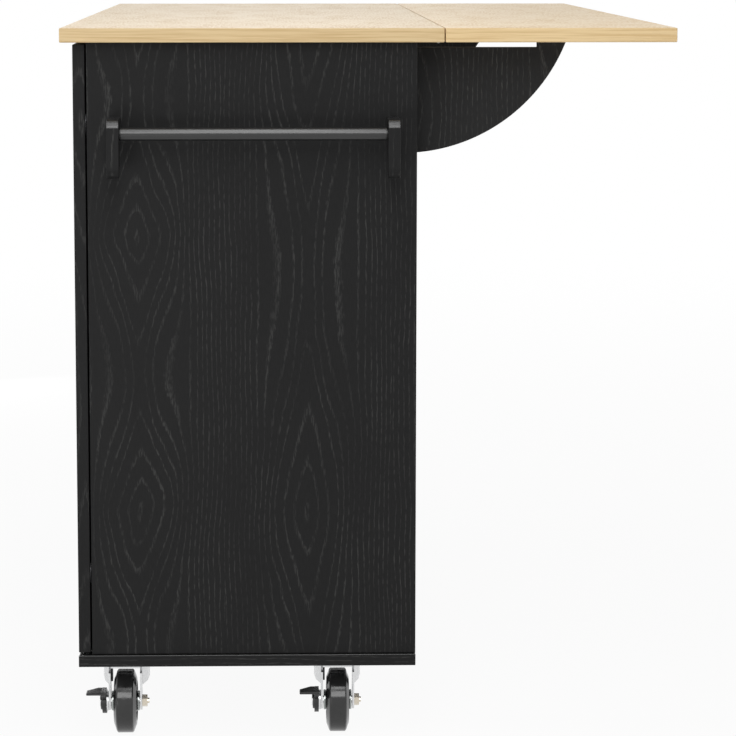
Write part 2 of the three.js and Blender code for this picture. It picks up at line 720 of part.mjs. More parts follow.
// Brake pedal beside the front leg: a steel lever and a moulded hub round the axle, with a foot blade.
function pedal() {
  const outline = new THREE.Shape();
  const bladeUnder = wheelRadius + bladeLift;
  const bladeTop = bladeUnder + bladeThick;
  const bladeEnd = wheelTrail + bladeStart + bladeLength;
  const start = THREE.MathUtils.degToRad(pedalHubStart);
  const end = THREE.MathUtils.degToRad(pedalHubEnd);
  outline.moveTo(wheelTrail + bladeStart, bladeTop);
  const lever = new THREE.Shape();
  lever.absarc(wheelTrail, wheelRadius, leverHubRadius, 0, 2 * Math.PI, false);
  const around = (angle) => [
    wheelTrail + pedalHubRadius * Math.cos(angle),
    wheelRadius + pedalHubRadius * Math.sin(angle),
  ];
  outline.lineTo(...around(start));
  outline.absarc(wheelTrail, wheelRadius, pedalHubRadius, start, end, false);
  outline.lineTo(bladeEnd, bladeUnder);
  outline.lineTo(bladeEnd, bladeTop);
  const upright = frameOf(alongX, alongZ, alongY.clone().negate());
  const outerY = -leverOuter - pedalThick;
  const arm = plate(outline, pedalThick, 0, 10).applyMatrix4(upright).translate(0, -leverOuter, 0);
  const steel = plate(lever, leverSheet + fit, 0, 6).applyMatrix4(upright).translate(0, -forkOuter - fit, 0);
  const tab = new THREE.Shape();
  tab.moveTo(0, fit);
  tab.lineTo(0, -bladeReach + bladeTaper);
  tab.lineTo(bladeTaper, -bladeReach);
  tab.lineTo(bladeLength, -bladeReach);
  tab.lineTo(bladeLength, fit);
  const blade = plate(tab, bladeThick, bladeEase).translate(wheelTrail + bladeStart, outerY, bladeUnder);
  const bore = rod(axleRadius + axleClearance, [outerY - fit, -forkOuter], alongY);
  return cut(join(arm, steel, blade), bore.translate(wheelTrail, 0, wheelRadius));
}

function addCasters() {
  const rows = { front: frontFaceY + casterFrontInset, rear: rearY - casterRearInset };
  for (const { name: end, sign } of ends)
    for (const [row, y] of Object.entries(rows)) {
      const caster = new THREE.Group();
      caster.position.set(sign * (cabinetHalf - casterEndInset), y, 0);
      island.add(caster);
      const prefix = `caster_${row}_${end}`;
      add(`${prefix}_plate`, mountPlate(), zinc, caster);
      add(`${prefix}_fork`, fork(), zinc, caster);
      add(`${prefix}_wheel`, wheel(), wheelBlack, caster);
      add(`${prefix}_pedal`, pedal(), pedalBlack, caster);
    }
}

addTops();
addCabinet();
addDrawers();
addDoors();
addLeafHinges();
addWings();
addTowelRack();
addCasters();

export default group;
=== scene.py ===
"""Finishes, casters, towel rack and stage for a drop leaf kitchen island."""

import json
import math

import bmesh
import bpy
from mathutils import Matrix, Vector

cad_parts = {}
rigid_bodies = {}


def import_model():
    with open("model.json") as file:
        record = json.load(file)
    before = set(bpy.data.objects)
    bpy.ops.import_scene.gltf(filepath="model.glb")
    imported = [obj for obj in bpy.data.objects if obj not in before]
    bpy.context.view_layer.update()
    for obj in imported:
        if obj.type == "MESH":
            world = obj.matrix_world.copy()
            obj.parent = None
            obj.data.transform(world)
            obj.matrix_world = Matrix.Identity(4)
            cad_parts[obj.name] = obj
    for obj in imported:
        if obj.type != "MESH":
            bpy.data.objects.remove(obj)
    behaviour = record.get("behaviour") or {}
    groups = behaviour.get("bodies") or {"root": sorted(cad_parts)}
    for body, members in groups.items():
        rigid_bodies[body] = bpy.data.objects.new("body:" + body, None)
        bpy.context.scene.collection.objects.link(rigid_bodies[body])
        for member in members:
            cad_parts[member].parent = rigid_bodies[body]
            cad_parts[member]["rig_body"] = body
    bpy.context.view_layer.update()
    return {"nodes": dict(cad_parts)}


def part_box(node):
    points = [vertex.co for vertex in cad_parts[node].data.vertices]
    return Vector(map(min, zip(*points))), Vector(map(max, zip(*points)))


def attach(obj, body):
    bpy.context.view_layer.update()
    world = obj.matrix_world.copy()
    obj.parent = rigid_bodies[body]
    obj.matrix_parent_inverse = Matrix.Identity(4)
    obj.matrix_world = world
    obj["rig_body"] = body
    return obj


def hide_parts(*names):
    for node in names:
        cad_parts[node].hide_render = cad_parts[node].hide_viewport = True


bl_info = {
    "name": "Drop leaf kitchen island",
    "version": (1, 0, 0),
    "blender": (4, 5, 0),
    "location": "View3D > Sidebar > Island",
    "description": "Dresses a drop leaf kitchen island in its wood, metal and rubber finishes",
    "category": "Object",
}

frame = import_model()

ENDS = ("right", "left")
ROWS = ("front", "rear")
CASTERS = [f"caster_{row}_{end}" for row in ROWS for end in ENDS]
DRAWERS = ("bottom", "middle", "top")
ALONG_Y = Matrix.Rotation(math.radians(90), 4, "X")  # turns the Z axis onto -Y


# ---- Sizes and colours that a user would change ----


def colour_of(name, description, default):
    return bpy.props.FloatVectorProperty(
        name=name, description=description, subtype="COLOR", size=3, min=0, max=1, default=default
    )


def length_of(name, description, default):
    return bpy.props.FloatProperty(
        name=name, description=description, subtype="DISTANCE", unit="LENGTH", default=default, min=0
    )


def share_of(name, description, default):
    return bpy.props.FloatProperty(
        name=name, description=description, subtype="FACTOR", default=default, min=0, max=1
    )


def angle_of(name, description, degrees):
    return bpy.props.FloatProperty(
        name=name, description=description, subtype="ANGLE", unit="ROTATION", default=math.radians(degrees)
    )


class PaleOakSettings(bpy.types.PropertyGroup):
    colour: colour_of("Colour", "Main colour of the pale oak boards", (0.80, 0.60, 0.33))
    streak: colour_of("Streak", "Darker colour along the grain", (0.64, 0.44, 0.205))
    roughness: share_of("Roughness", "Roughness of the lacquer", 0.36)
    easing: length_of("Easing", "Rounding of the boards' edges", 0.0009)


class BlackOakSettings(bpy.types.PropertyGroup):
    colour: colour_of("Colour", "Ground colour of the black boards", (0.0138, 0.0138, 0.014))
    pore: colour_of("Pore", "Colour of the raised grain lines", (0.050, 0.050, 0.049))
    figure_width: length_of("Figure width", "Distance between the middles of two grain figures", 0.2135)
    ring_width: length_of("Ring width", "Distance between two grain lines inside a figure", 0.0135)
    roughness: share_of("Roughness", "Roughness of the laminate", 0.45)
    easing: length_of("Easing", "Rounding of the boards' edges", 0.0005)


class CasterSettings(bpy.types.PropertyGroup):
    rubber: colour_of("Rubber", "Colour of the wheels", (0.021, 0.021, 0.021))
    nylon: colour_of("Nylon", "Colour of the brake pedals", (0.016, 0.016, 0.0165))
    zinc: colour_of("Zinc", "Colour of the bright plated steel", (0.71, 0.715, 0.72))
    bush: colour_of("Bush", "Colour of the plated hub bushes", (0.36, 0.38, 0.37))
    nut: colour_of("Nut", "Colour of the yellow plated nuts", (0.66, 0.60, 0.50))
    tread_half: length_of("Half tread", "Half the width of the flat tread", 0.0094)
    chamfer: length_of("Tread chamfer", "Depth of the chamfer beside the tread", 0.0016)
    shoulder_half: length_of("Half shoulder", "Half the wheel's width below the chamfer", 0.011)
    rim_half: length_of("Half rim", "Half the wheel's width at the rim", 0.0145)
    rim_radius: length_of("Rim radius", "Radius where the shoulder reaches the rim", 0.030)
    web_half: length_of("Half web", "Half the thickness of the wheel's web", 0.010)
    hub_radius: length_of("Hub radius", "Radius of the moulded hub", 0.014)
    bush_radius: length_of("Bush radius", "Radius of the plated bush at the hub's ends", 0.0128)
    bore_radius: length_of("Bore radius", "Radius of the bush's bore", 0.0054)


class StageSettings(bpy.types.PropertyGroup):
    camera_place: bpy.props.FloatVectorProperty(
        name="Camera place",
        description="Where the camera stands",
        subtype="TRANSLATION",
        unit="LENGTH",
        size=3,
        default=(4.0923, -0.118, 1.0212),
    )
    camera_turn: angle_of("Camera turn", "Turn of the view from straight along -X towards +Y", 1.267)
    camera_tilt: angle_of("Camera tilt", "Tilt of the view below the horizon", 6.997)
    camera_shift: bpy.props.FloatVectorProperty(
        name="Camera shift",
        description="Shift of the picture across and up, as shares of its width",
        size=2,
        default=(0.0445, -0.12),
    )
    lens: bpy.props.FloatProperty(
        name="Lens", description="Focal length", subtype="DISTANCE_CAMERA", default=134.96, min=10
    )
    surround: bpy.props.FloatProperty(
        name="Surround", description="Strength of the pale surround on matt surfaces", default=0.31, min=0
    )


# ---- Shader nodes ----


def feed(tree, socket, value):
    """Links a socket to another, or sets its value."""
    if isinstance(value, bpy.types.NodeSocket):
        tree.links.new(value, socket)
    else:
        socket.default_value = value


def maths(tree, operation, *values):
    """The result of a Math node."""
    made = tree.nodes.new("ShaderNodeMath")
    made.operation = operation
    for socket, value in zip(made.inputs, values):
        feed(tree, socket, value)
    return made.outputs[0]


def scaled(tree, value, factor):
    return maths(tree, "MULTIPLY", value, factor)


def either(tree, factor, when_off, when_on):
    """The first value where the factor is 0 and the second where it is 1."""
    return maths(tree, "MULTIPLY_ADD", maths(tree, "SUBTRACT", when_on, when_off), factor, when_off)


def swayed(tree, value, sway, amount):
    """A value moved up and down by a noise that runs from 0 to 1."""
    return maths(tree, "MULTIPLY_ADD", maths(tree, "SUBTRACT", sway, 0.5), amount, value)


def blended(tree, factor, first, second):
    """A colour between two colours."""
    made = tree.nodes.new("ShaderNodeMix")
    made.data_type = "RGBA"
    feed(tree, made.inputs[0], factor)
    feed(tree, made.inputs[6], first)
    feed(tree, made.inputs[7], second)
    return made.outputs[2]


def ranged(tree, value, low, high, to_low=0.0, to_high=1.0):
    """A value eased from one range to another."""
    made = tree.nodes.new("ShaderNodeMapRange")
    made.interpolation_type = "SMOOTHSTEP"
    for socket, given in zip(made.inputs, (value, low, high, to_low, to_high)):
        feed(tree, socket, given)
    return made.outputs[0]


def joined(tree, x, y, z):
    """A vector from its three parts."""
    made = tree.nodes.new("ShaderNodeCombineXYZ")
    for socket, value in zip(made.inputs, (x, y, z)):
        feed(tree, socket, value)
    return made.outputs[0]


def noise(tree, vector, scale=1.0, detail=2.0, roughness=0.5):
    made = tree.nodes.new("ShaderNodeTexNoise")
    feed(tree, made.inputs["Vector"], vector)
    made.inputs["Scale"].default_value = scale
    made.inputs["Detail"].default_value = detail
    made.inputs["Roughness"].default_value = roughness
    return made.outputs["Fac"]


def new_group(name, inputs, outputs):
    """An empty node group: inputs as (name, type, default), outputs as (name, type)."""
    tree = bpy.data.node_groups.new(name, "ShaderNodeTree")
    for label, kind, default in inputs:
        socket = tree.interface.new_socket(name=label, in_out="INPUT", socket_type=kind)
        if default is not None:
            socket.default_value = default
    for label, kind in outputs:
        tree.interface.new_socket(name=label, in_out="OUTPUT", socket_type=kind)
    return tree, tree.nodes.new("NodeGroupInput").outputs, tree.nodes.new("NodeGroupOutput").inputs


def placed(tree, group, **values):
    """A node group set into a material, with its inputs by name."""
    made = tree.nodes.new("ShaderNodeGroup")
    made.node_tree = group
    for label, value in values.items():
        feed(tree, made.inputs[label.replace("_", " ")], value)
    return made.outputs


def board_coordinates():
    """Distances across and along the grain on every face of a board, whichever way it stands."""
    name = "Board coordinates"
    if name in bpy.data.node_groups:
        return bpy.data.node_groups[name]
    vector, number = "NodeSocketVector", "NodeSocketFloat"
    tree, given, made = new_group(
        name,
        [("Position", vector, None), ("Normal", vector, None), ("Level", number, 0.0)],
        [("Across", number), ("Along", number), ("Upward", number)],
    )
    place = tree.nodes.new("ShaderNodeSeparateXYZ")
    facing = tree.nodes.new("ShaderNodeSeparateXYZ")
    feed(tree, place.inputs[0], given["Position"])
    feed(tree, facing.inputs[0], given["Normal"])
    x, y, z = place.outputs
    square_on = 0.7
    towards_x, _, upward = [
        maths(tree, "GREATER_THAN", maths(tree, "ABSOLUTE", part), square_on) for part in facing.outputs
    ]
    sideways = either(tree, towards_x, x, y)
    feed(tree, made["Across"], either(tree, given["Level"], sideways, either(tree, upward, z, y)))
    feed(tree, made["Along"], either(tree, given["Level"], z, sideways))
    feed(tree, made["Upward"], upward)
    return tree


def oak_figure():
    """Pointed arches and long straight lines of flat-sawn oak, with the fine pores inside them."""
    name = "Oak figure"
    if name in bpy.data.node_groups:
        return bpy.data.node_groups[name]
    number = "NodeSocketFloat"
    tree, given, made = new_group(
        name,
        [
            ("Across", number, 0.0),
            ("Along", number, 0.0),
            ("Figure Width", number, 0.2),
            ("Ring Width", number, 0.0135),
            ("Eye Spacing", number, 0.351),
            ("Across Shift", number, 0.0),
            ("Along Shift", number, 0.0),
        ],
        [("Rings", number), ("Pores", number), ("Tone", number)],
    )
    # The figures stand in columns, and each column starts at a height of its own.
    column_step = -0.083
    share = maths(tree, "SUBTRACT", given["Across"], given["Across Shift"])
    share = maths(tree, "ADD", maths(tree, "DIVIDE", share, given["Figure Width"]), 0.5)
    column = maths(tree, "FLOOR", share)
    inside = maths(tree, "SUBTRACT", maths(tree, "SUBTRACT", share, column), 0.5)
    across = maths(tree, "MULTIPLY", inside, given["Figure Width"])
    along = maths(tree, "SUBTRACT", given["Along"], given["Along Shift"])
    offset = maths(tree, "MULTIPLY", column, maths(tree, "SUBTRACT", column, 1.0))
    along = maths(tree, "MULTIPLY_ADD", offset, column_step, along)

    # The lines wander as those of a real board do.
    wander_width, broad_width, broad_length, fine_count = 0.018, 0.012, 0.06, 0.34
    broad = noise(tree, joined(tree, scaled(tree, across, 16), scaled(tree, along, 7), column))
    wander = noise(tree, joined(tree, scaled(tree, column, 3.7), scaled(tree, along, 4), 0.0), detail=1)
    fine = noise(tree, joined(tree, scaled(tree, across, 330), scaled(tree, along, 110), column), detail=4)
    across = swayed(tree, across, wander, wander_width)
    across = swayed(tree, across, broad, broad_width)
    bent = swayed(tree, along, broad, broad_length)

    # The eyes lie further apart in some columns than in others.
    column_turn, most_stretch = 2.4, 1.1
    stretch = maths(tree, "ABSOLUTE", maths(tree, "SINE", scaled(tree, column, column_turn)))
    stretch = maths(tree, "MULTIPLY_ADD", stretch, most_stretch, 1.0)
    spacing = maths(tree, "MULTIPLY", given["Eye Spacing"], stretch)
    wave = maths(tree, "SINE", scaled(tree, maths(tree, "DIVIDE", bent, spacing), math.pi))

    # The figure's depth grows fast beside the eye, then ever slower, and fades out towards its sides.
    pointed, deepest, blunt = 1.35, 0.047, 0.1
    full_within, gone_beyond = 0.017, 0.075
    growth = 0.4 * pointed
    depth = maths(tree, "POWER", maths(tree, "MULTIPLY_ADD", wave, wave, blunt**2), growth)
    depth = scaled(tree, maths(tree, "SUBTRACT", depth, blunt ** (2 * growth)), deepest**pointed)
    aside = maths(tree, "ABSOLUTE", across)
    depth = maths(tree, "MULTIPLY", depth, ranged(tree, aside, full_within, gone_beyond, 1.0, 0.0))
    sides = maths(tree, "POWER", aside, pointed)
    radius = maths(tree, "POWER", maths(tree, "ADD", sides, depth), 1 / pointed)

    # The lines crowd together away from the middle of the figure; each one rises fast and fades slowly.
    crowded_beyond, lines_per_metre = 0.04, 85.0
    risen, fading, faded = 0.08, 0.12, 0.32
    outside = maths(tree, "MAXIMUM", maths(tree, "SUBTRACT", radius, crowded_beyond), 0.0)
    count = maths(tree, "DIVIDE", radius, given["Ring Width"])
    count = maths(tree, "MULTIPLY_ADD", outside, lines_per_metre, count)
    count = swayed(tree, count, fine, fine_count)
    phase = maths(tree, "FRACT", count)
    rise = ranged(tree, phase, 0.0, risen)
    rings = maths(tree, "MULTIPLY", rise, ranged(tree, phase, fading, faded, 1.0, 0.0))
    streaks = joined(tree, scaled(tree, given["Across"], 640), scaled(tree, given["Along"], 95), column)
    clouds = joined(tree, scaled(tree, given["Across"], 22), scaled(tree, given["Along"], 7), 4.0)
    feed(tree, made["Rings"], rings)
    feed(tree, made["Pores"], ranged(tree, noise(tree, streaks), 0.42, 0.58))
    feed(tree, made["Tone"], noise(tree, clouds))
    return tree


def new_material(name):
    """A material with its shader and the coordinates of the piece."""
    material = bpy.data.materials.new(name)
    material.use_nodes = True
    tree = material.node_tree
    return material, tree, tree.nodes["Principled BSDF"], tree.nodes.new("ShaderNodeTexCoord").outputs


def bump(tree, shader, height, strength, distance):
    """Raises a material's surface by a height mask."""
    made = tree.nodes.new("ShaderNodeBump")
    made.inputs["Strength"].default_value = strength
    made.inputs["Distance"].default_value = distance
    feed(tree, made.inputs["Height"], height)
    feed(tree, shader.inputs["Normal"], made.outputs[0])


def tinted(colour, factor=1.0):
    """A colour times a factor, as a socket takes it."""
    return (*[part * factor for part in colour], 1.0)


def black_oak(name, across_shift, along_shift, level=0.0, eye_spacing=0.351, lift=1.0):
    """Black laminate with raised grain lines; level is 1 where the grain lies level, 0 where it is upright.
    Its gain paints light in: it brightens the colours of boards that lie in shade.
    """
    settings = bpy.context.scene.island_black_oak
    material, tree, shader, coordinates = new_material(name)
    faces = placed(
        tree, board_coordinates(), Position=coordinates["Object"], Normal=coordinates["Normal"], Level=level
    )
    figure = placed(
        tree,
        oak_figure(),
        Across=faces["Across"],
        Along=faces["Along"],
        Figure_Width=settings.figure_width,
        Ring_Width=settings.ring_width,
        Eye_Spacing=eye_spacing,
        Across_Shift=across_shift,
        Along_Shift=along_shift,
    )
    pores, tone = figure["Pores"], figure["Tone"]
    quietest, between_pores, stray_pores = 0.25, 0.12, 0.05
    loud = ranged(tree, tone, 0.32, 0.66, quietest, 1.0)
    broken = maths(tree, "MULTIPLY_ADD", pores, 1 - between_pores, between_pores)
    lines = maths(tree, "MULTIPLY", maths(tree, "MULTIPLY", figure["Rings"], broken), loud)
    lines = maths(tree, "MULTIPLY_ADD", pores, stray_pores, lines)
    # The gain scales the ground and pore colours up as painted light, brightening boards that sit in shade.
    ground = blended(tree, tone, tinted(settings.colour, lift), tinted(settings.colour, 1.15 * lift))
    feed(tree, shader.inputs["Base Color"], blended(tree, lines, ground, tinted(settings.pore, lift)))
    rough = settings.roughness
    feed(tree, shader.inputs["Roughness"], ranged(tree, lines, 0.0, 1.0, rough, rough + 0.12))
    shader.inputs["Specular IOR Level"].default_value = 0.1
    bump(tree, shader, lines, 0.2, 0.0002)
    return material


def glossy_black(name, scale, strength):
    """Black coating with a clear top layer over a fine grain."""
    if name in bpy.data.materials:
        return bpy.data.materials[name]
    material, tree, shader, coordinates = new_material(name)
    grain = noise(tree, coordinates["Object"], scale, 2, 0.5)
    shade = ranged(tree, grain, 0.3, 0.7)
    dark, light = (0.009,) * 3, (0.014,) * 3
    feed(tree, shader.inputs["Base Color"], blended(tree, shade, tinted(dark), tinted(light)))
    feed(tree, shader.inputs["Roughness"], worn(tree, coordinates, 90, 0.3, 0.38))
    shader.inputs["Specular IOR Level"].default_value = 0.12
    shader.inputs["Coat Weight"].default_value = 1.0
    shader.inputs["Coat Roughness"].default_value = 0.25
    bump(tree, shader, grain, strength, 0.0001)
    return material


def pale_oak(name, across_shift, lift=1.0):
    """Lacquered pale oak: flecked on top, banded on the edges; its gain brightens both colours as painted
    light.
    """
    settings = bpy.context.scene.island_pale_oak
    material, tree, shader, coordinates = new_material(name)
    faces = placed(
        tree, board_coordinates(), Position=coordinates["Object"], Normal=coordinates["Normal"], Level=1.0
    )
    across, along, upward = faces["Across"], faces["Along"], faces["Upward"]
    figure = placed(
        tree,
        oak_figure(),
        Across=across,
        Along=along,
        Figure_Width=0.24,
        Ring_Width=0.02,
        Eye_Spacing=0.62,
        Across_Shift=across_shift,
        Along_Shift=0.21,
    )
    band_strength, fleck_strength, ring_strength, cloud_strength = 0.8, 0.52, 0.12, 0.9
    bands = joined(tree, scaled(tree, across, 300), scaled(tree, along, 6), 1.0)
    band = noise(tree, bands, detail=4, roughness=0.62)
    on_edge = scaled(tree, ranged(tree, band, 0.36, 0.66), band_strength)
    fleck = noise(tree, joined(tree, scaled(tree, across, 420), scaled(tree, along, 34), 7.0), detail=3)
    flecked = ranged(tree, fleck, 0.44, 0.62, fleck_strength, 0.0)
    on_top = maths(tree, "MULTIPLY_ADD", figure["Rings"], ring_strength, flecked)
    on_top = swayed(tree, on_top, figure["Tone"], cloud_strength)
    amount = ranged(tree, either(tree, upward, on_edge, on_top), 0.0, 1.0)
    # The gain scales both oak colours up as painted light.
    light, dark = tinted(settings.colour, lift), tinted(settings.streak, lift)
    feed(tree, shader.inputs["Base Color"], blended(tree, amount, light, dark))
    rough = settings.roughness
    feed(tree, shader.inputs["Roughness"], ranged(tree, amount, 0.0, 1.0, rough - 0.04, rough + 0.14))
    bump(tree, shader, maths(tree, "MULTIPLY", fleck, upward), 0.1, 0.0002)
    return material


def edge_band():
    """Glossy black band on the rounded edges of a board."""
    return glossy_black("Black edge band", 900, 0.03)


def worn(tree, coordinates, scale, low, high):
    """Roughness that changes softly over a piece."""
    return ranged(tree, noise(tree, coordinates["Object"], scale, 4, 0.6), 0.3, 0.7, low, high)


def plated(name, colour):
    """Electroplated steel with a faint spangle."""
    if name in bpy.data.materials:
        return bpy.data.materials[name]
    material, tree, shader, coordinates = new_material(name)
    spangle = tree.nodes.new("ShaderNodeTexVoronoi")
    spangle.inputs["Scale"].default_value = 420
    feed(tree, spangle.inputs["Vector"], coordinates["Object"])
    patch = ranged(tree, spangle.outputs["Distance"], 0.1, 0.9)
    feed(tree, shader.inputs["Base Color"], blended(tree, patch, tinted(colour), tinted(colour, 0.92)))
    feed(tree, shader.inputs["Roughness"], worn(tree, coordinates, 160, 0.2, 0.34))
    shader.inputs["Metallic"].default_value = 1.0
    return material


def bright_zinc():
    """Zinc of the forks, plates, levers and hinges."""
    return plated("Bright zinc plate", bpy.context.scene.island_casters.zinc)


def moulded(name, colour, rough, grain_scale, strength):
    """Rubber or plastic with a fine moulded skin."""
    if name in bpy.data.materials:
        return bpy.data.materials[name]
    material, tree, shader, coordinates = new_material(name)
    skin = noise(tree, coordinates["Object"], grain_scale, 3, 0.55)
    cloud = ranged(tree, noise(tree, coordinates["Object"], 70, 4, 0.6), 0.35, 0.75)
    feed(tree, shader.inputs["Base Color"], blended(tree, cloud, tinted(colour), tinted(colour, 1.4)))
    feed(tree, shader.inputs["Roughness"], ranged(tree, cloud, 0.0, 1.0, rough, rough + 0.1))
    bump(tree, shader, skin, strength, 0.0001)
    return material


def nylon():
    """Black nylon of the pedals and brake arms."""
    return moulded("Black nylon", bpy.context.scene.island_casters.nylon, 0.34, 1400, 0.08)


# ---- Mesh ----


def turned(shape, profile, matrix, steps=72):
    """Spins (radius, height) points round the matrix's Z axis; the profile is closed or ends on the axis."""
    before = set(shape.verts)
    verts = [shape.verts.new((radius, 0, height)) for radius, height in profile]
    following = verts[1:] if profile[0][0] == 0 else verts[1:] + verts[:1]
    edges = [shape.edges.new(pair) for pair in zip(verts, following)]
    bmesh.ops.spin(
        shape, geom=verts + edges, axis=(0, 0, 1), cent=(0, 0, 0), angle=math.tau, steps=steps, use_merge=True
    )
    made = [vert for vert in shape.verts if vert not in before]
    bmesh.ops.remove_doubles(shape, verts=made, dist=1e-6)
    made = [vert for vert in shape.verts if vert not in before]
    bmesh.ops.transform(shape, matrix=matrix, verts=made)


def mirrored(half):
    """A profile and its mirror image, as one."""
    return half + [(radius, -height) for radius, height in reversed(half)]


def extruded(shape, outline, low, high, matrix):
    """A flat outline of (x, y) pairs, given a thickness along the Z axis of the matrix."""
    verts = [shape.verts.new((x, y, low)) for x, y in outline]
    grown = bmesh.ops.extrude_face_region(shape, geom=[shape.faces.new(verts)], use_keep_orig=True)
    raised = [part for part in grown["geom"] if isinstance(part, bmesh.types.BMVert)]
    bmesh.ops.translate(shape, verts=raised, vec=(0, 0, high - low))
    bmesh.ops.transform(shape, matrix=matrix, verts=verts + raised)


def arc(x, y, radius, start, end, steps=12):
    """Points on an arc, with angles in degrees."""
    turns = [math.radians(start + (end - start) * i / steps) for i in range(steps + 1)]
    return [(x + radius * math.cos(turn), y + radius * math.sin(turn)) for turn in turns]


def copy_of(node):
    """A merged copy of a CAD node's mesh, with its flat faces joined up."""
    shape = bmesh.new()
    shape.from_mesh(frame["nodes"][node].data)
    bmesh.ops.remove_doubles(shape, verts=shape.verts, dist=2e-6)
    bmesh.ops.dissolve_limit(
        shape, angle_limit=math.radians(1), use_dissolve_boundaries=False, verts=shape.verts, edges=shape.edges
    )
    return shape


def ease_edges(shape, offset, segments=2, above=35):
    """Rounds the edges that turn by more than an angle in degrees."""
    limit = math.radians(above)
    edges = [edge for edge in shape.edges if edge.is_manifold and edge.calc_face_angle(0) > limit]
    bmesh.ops.bevel(
        shape,
        geom=edges,
        offset=offset,
        offset_type="OFFSET",
        segments=segments,
        profile=0.5,
        affect="EDGES",
        clamp_overlap=True,
        material=-1,
    )


def shade(shape, mesh, smooth_below):
    """Corner normals led by the larger faces, so that flat faces stay flat beside their rounded edges."""
    close = math.cos(math.radians(smooth_below))
    areas = {face: face.calc_area() for face in shape.faces}
    normals = []
    for face in shape.faces:
        for vert in face.verts:
            near = [other for other in vert.link_faces if other.normal.dot(face.normal) > close]
            normals.append(sum((other.normal * areas[other] for other in near), Vector()).normalized())
    mesh.normals_split_custom_set(normals)


def seated(shape, name, body, materials, stands_for=(), smooth_below=32):
    """Shades a finished shape and seats it on its body."""
    bmesh.ops.recalc_face_normals(shape, faces=shape.faces)
    shape.normal_update()
    for face in shape.faces:
        face.smooth = True
    mesh = bpy.data.meshes.new(name)
    shape.to_mesh(mesh)
    shade(shape, mesh, smooth_below)
    shape.free()
    for material in materials:
        mesh.materials.append(material)
    piece = bpy.data.objects.new(name, mesh)
    bpy.context.scene.collection.objects.link(piece)
    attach(piece, body)
    if stands_for:
        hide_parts(*stands_for)
    return piece


def renewed(nodes, materials, easing, segments=2):
    """Pieces that stand for CAD nodes with rounded edges; a second material goes on what faces upwards."""
    for node in nodes:
        shape = copy_of(node)
        ease_edges(shape, easing, segments)
        shape.normal_update()
        for face in shape.faces:
            face.material_index = int(len(materials) > 1 and face.normal.z > 0.1)
        seated(shape, f"{node}_eased", frame["nodes"][node]["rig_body"], materials, [node])


def axle_of(caster):
    """Middle of a caster's wheel."""
    low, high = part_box(f"{caster}_wheel")
    return (low + high) / 2


# ---- Operators ----


class ISLAND_OT_tops(bpy.types.Operator):
    """Pale oak on the worktop and the drop leaf"""

    bl_idname = "island.tops"
    bl_label = "Oak tops"

    def execute(self, context):
        easing = context.scene.island_pale_oak.easing
        renewed(["worktop"], [pale_oak("Pale oak worktop", -0.26)], easing, 3)
        # The leaf's oak is painted lighter than the worktop's, as painted light making up for the weaker lamp
        # light at its end.
        renewed(["drop_leaf"], [pale_oak("Pale oak leaf", 0.21, 1.14)], easing, 3)
        return {"FINISHED"}


class ISLAND_OT_cabinet(bpy.types.Operator):
    """Black oak on the cabinet boards, doors, drawers and wings"""

    bl_idname = "island.cabinet"
    bl_label = "Black oak boards"

    def execute(self, context):
        easing = context.scene.island_black_oak.easing

        def boards(nodes, name, across_shift, along_shift, **more):
            """Boards cut from one sheet, whose shifts choose the part of its figure that shows."""
            finish = black_oak(f"Black oak {name}", across_shift, along_shift, **more)
            renewed(nodes, [finish], easing)
            return finish

        boards(["right_side_panel"], "right end", -0.2895, 0.301)
        boards(["left_side_panel"], "left end", -0.18, 0.52)
        # The wings are painted half as bright again, as painted light making up for the shade of the leaf
        # above them.
        boards(["right_wing", "left_wing"], "wings", 0.27, 0.64, lift=1.5)
        for i, end in enumerate(ENDS):
            boards([f"{end}_door"], f"{end} door", 0.07 + 0.11 * i, 0.3 + 0.2 * i)
            boards([f"{end}_divider"], f"{end} divider", 0.02, 0.2)
        for i, row in enumerate(DRAWERS):
            boards([f"drawer_front_{row}"], f"{row} drawer", 0.03 + 0.06 * i, 0.16 * i)
            boards([f"drawer_box_{row}"], f"{row} box", 0.04 * i, 0.21 * i, level=1)
        boards(["back_panel"], "back", 0.09, 0.41)
        flat = ["front_top_rail", "rear_top_rail", "right_shelf", "left_shelf"]
        level = boards(flat, "level boards", 0.03, 0.12, level=1, eye_spacing=0.8)
        band_easing = 0.001
        renewed(["base_board"], [level, edge_band()], band_easing)
        return {"FINISHED"}


class ISLAND_OT_towel_rack(bpy.types.Operator):
    """Edge-banded brackets and a powder-coated bar with a neck and a spigot at each end"""

    bl_idname = "island.towel_rack"
    bl_label = "Towel rack"

    def execute(self, context):
        faces = black_oak("Black oak brackets", 0.1, 0.6)
        brackets, easing = [f"towel_bracket_{row}" for row in ROWS], 0.0006
        renewed(brackets, [faces, edge_band()], easing, 3)
        low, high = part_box("towel_bar")
        radius = (high.x - low.x) / 2
        end = (high.y - low.y) / 2
        spigot_radius, spigot = 0.004, 0.008
        neck_radius, neck = radius - 0.0012, 0.0015
        half = [
            (0, end),
            (spigot_radius, end),
            (spigot_radius, end - spigot),
            (neck_radius, end - spigot),
            (neck_radius, end - spigot - neck),
            (radius, end - spigot - neck),
        ]
        shape = bmesh.new()
        turned(shape, mirrored(half), Matrix.Translation((low + high) / 2) @ ALONG_Y)
        ease_edges(shape, 0.0003, 3)
        coat = glossy_black("Black powder coat", 2600, 0.1)
        seated(shape, "towel_rail", "cabinet", [coat], ["towel_bar"])
        return {"FINISHED"}


